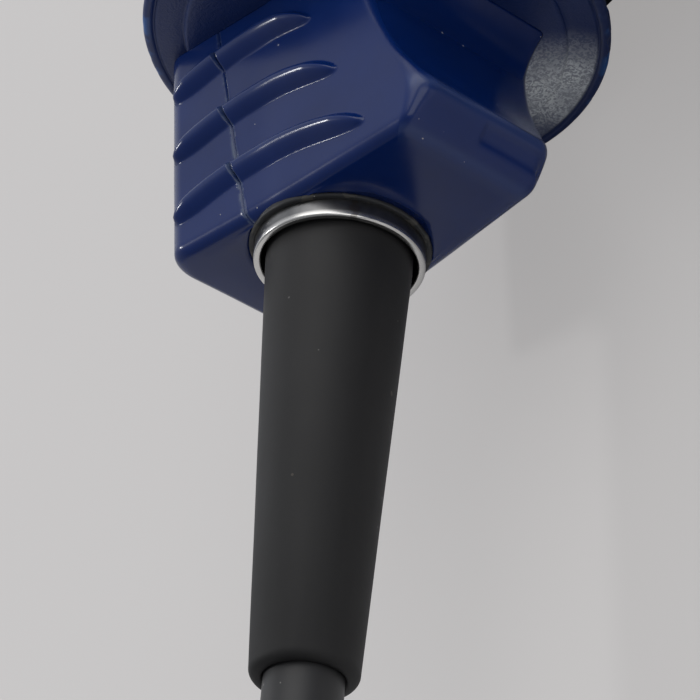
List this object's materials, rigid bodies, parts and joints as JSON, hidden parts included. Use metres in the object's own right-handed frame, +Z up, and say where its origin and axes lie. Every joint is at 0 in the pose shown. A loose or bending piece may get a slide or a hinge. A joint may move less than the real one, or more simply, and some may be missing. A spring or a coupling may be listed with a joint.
{
  "type": "motorized pipette controller",
  "caption": "Pistol-shaped motorized pipette controller: tapered black nosepiece, steel collar, ribbed blue nose block, round guard flange, drum head and sloped handle with trigger buttons.",
  "frame": {"origin": "centre of the pipette socket's mouth at the end of the nosepiece", "axes": "-Y along the nose axis out of the socket, +X towards the handle, +Z up out of the ribbed side; the controller lies on its -Z side"},
  "size_m": [0.1557, 0.1595, 0.0624],
  "materials": {
    "nose_rubber": "matt charcoal",
    "adapter_silicone": "soft black silicone",
    "filter_white": "plain white",
    "collar_steel": "satin turned",
    "gasket_rubber": "dull black",
    "stem_plastic": "moulded grey",
    "brass_nut": "machined",
    "blue_shell": "satin cobalt blue with moulded ribs",
    "screw_steel": "plain",
    "blue_flange": "satin cobalt blue with a fine leathery grain",
    "blue_housing": "satin cobalt blue",
    "dark_rubber": "matt black",
    "dark_plastic": "matt black",
    "valve_plastic": "natural white",
    "valve_steel": "ground",
    "grey_button": "light grey",
    "spring_steel": "plain wire",
    "motor_steel": "plated",
    "magnet_iron": "sintered",
    "rotor_iron": "laminated",
    "cam_brass": "machined",
    "mount_plastic": "moulded black",
    "rod_plastic": "natural white",
    "diaphragm_rubber": "soft black",
    "pump_plastic": "moulded black",
    "tube_silicone": "translucent white",
    "board_green": "green board",
    "switch_plastic": "black",
    "cell_wrap": "green sleeve",
    "contact_metal": "plated strip",
    "jack_plastic": "black",
    "lens_clear": "clear green"
  },
  "bodies": {
    "controller": {"collar_ferrule": "collar_steel", "collar_gasket": "gasket_rubber", "nose_stem": "stem_plastic", "stem_nut": "brass_nut", "nose_shell_front": "blue_shell", "nose_shell_rear": "blue_shell", "nose_screws": "screw_steel", "guard_flange": "blue_flange", "housing_left": "blue_housing", "housing_right": "blue_housing", "housing_screws": "screw_steel", "vent_cap": "dark_rubber", "speed_pot": "dark_plastic", "valve_block": "valve_plastic", "aspirate_spring": "spring_steel", "dispense_spring": "spring_steel", "motor_can": "motor_steel", "motor_magnets": "magnet_iron", "motor_mount": "mount_plastic", "connecting_rod": "rod_plastic", "pump_diaphragm": "diaphragm_rubber", "pump_body": "pump_plastic", "pump_valve_plate": "diaphragm_rubber", "pump_cover": "pump_plastic", "air_tubes": "tube_silicone", "circuit_board": "board_green", "microswitches": "switch_plastic", "battery_cells": "cell_wrap", "battery_contacts": "contact_metal", "charge_jack": "jack_plastic", "indicator_lens": "lens_clear", "butt_foot": "dark_rubber"},
    "adapter_set": {"pipette_adapter": "adapter_silicone", "membrane_filter": "filter_white", "filter_seal": "adapter_silicone"},
    "nosepiece_sleeve": {"nosepiece": "nose_rubber"},
    "rotor": {"motor_rotor": "rotor_iron", "eccentric_cam": "cam_brass"},
    "dial": {"speed_dial": "dark_plastic"},
    "aspirate_trigger": {"aspirate_button": "grey_button", "aspirate_valve_stem": "valve_steel"},
    "dispense_trigger": {"dispense_button": "grey_button", "dispense_valve_stem": "valve_steel"},
    "battery_cover": {"battery_door": "blue_housing"}
  },
  "joints": [
    {"name": "nose_slide", "type": "slide", "parent": "controller", "child": "adapter_set", "axis": [0, -1, 0], "range_m": [0, 0.012]},
    {"name": "nose_turn", "type": "hinge", "parent": "adapter_set", "child": "nosepiece_sleeve", "pos_m": [0, 0.04, 0], "axis": [0, -1, 0], "range_deg": [0, 1080.5]},
    {"name": "rotor_spin", "type": "hinge", "parent": "controller", "child": "rotor", "pos_m": [0.012, 0.13549, 0], "axis": [0, 0, 1], "continuous": true},
    {"name": "speed_turn", "type": "hinge", "parent": "controller", "child": "dial", "pos_m": [0.012, 0.13549, 0.02], "axis": [0, 0, 1], "range_deg": [-135, 135]},
    {"name": "aspirate_press", "type": "slide", "parent": "controller", "child": "aspirate_trigger", "axis": [0.4352, 0.9003, 0], "range_m": [0, 0.004], "stiffness_N_per_m": 500, "springref_m": -0.004, "deforming": ["aspirate_spring"]},
    {"name": "dispense_press", "type": "slide", "parent": "controller", "child": "dispense_trigger", "axis": [0.4352, 0.9003, 0], "range_m": [0, 0.004], "stiffness_N_per_m": 500, "springref_m": -0.004, "deforming": ["dispense_spring"]},
    {"name": "battery_door_slide", "type": "slide", "parent": "controller", "child": "battery_cover", "axis": [-0.9003, 0.4352, 0], "range_m": [0, 0.008]}
  ],
  "couplings": [
    {"joint": "nose_turn", "follows": "nose_slide", "rad_per_m": 1570.8}
  ]
}
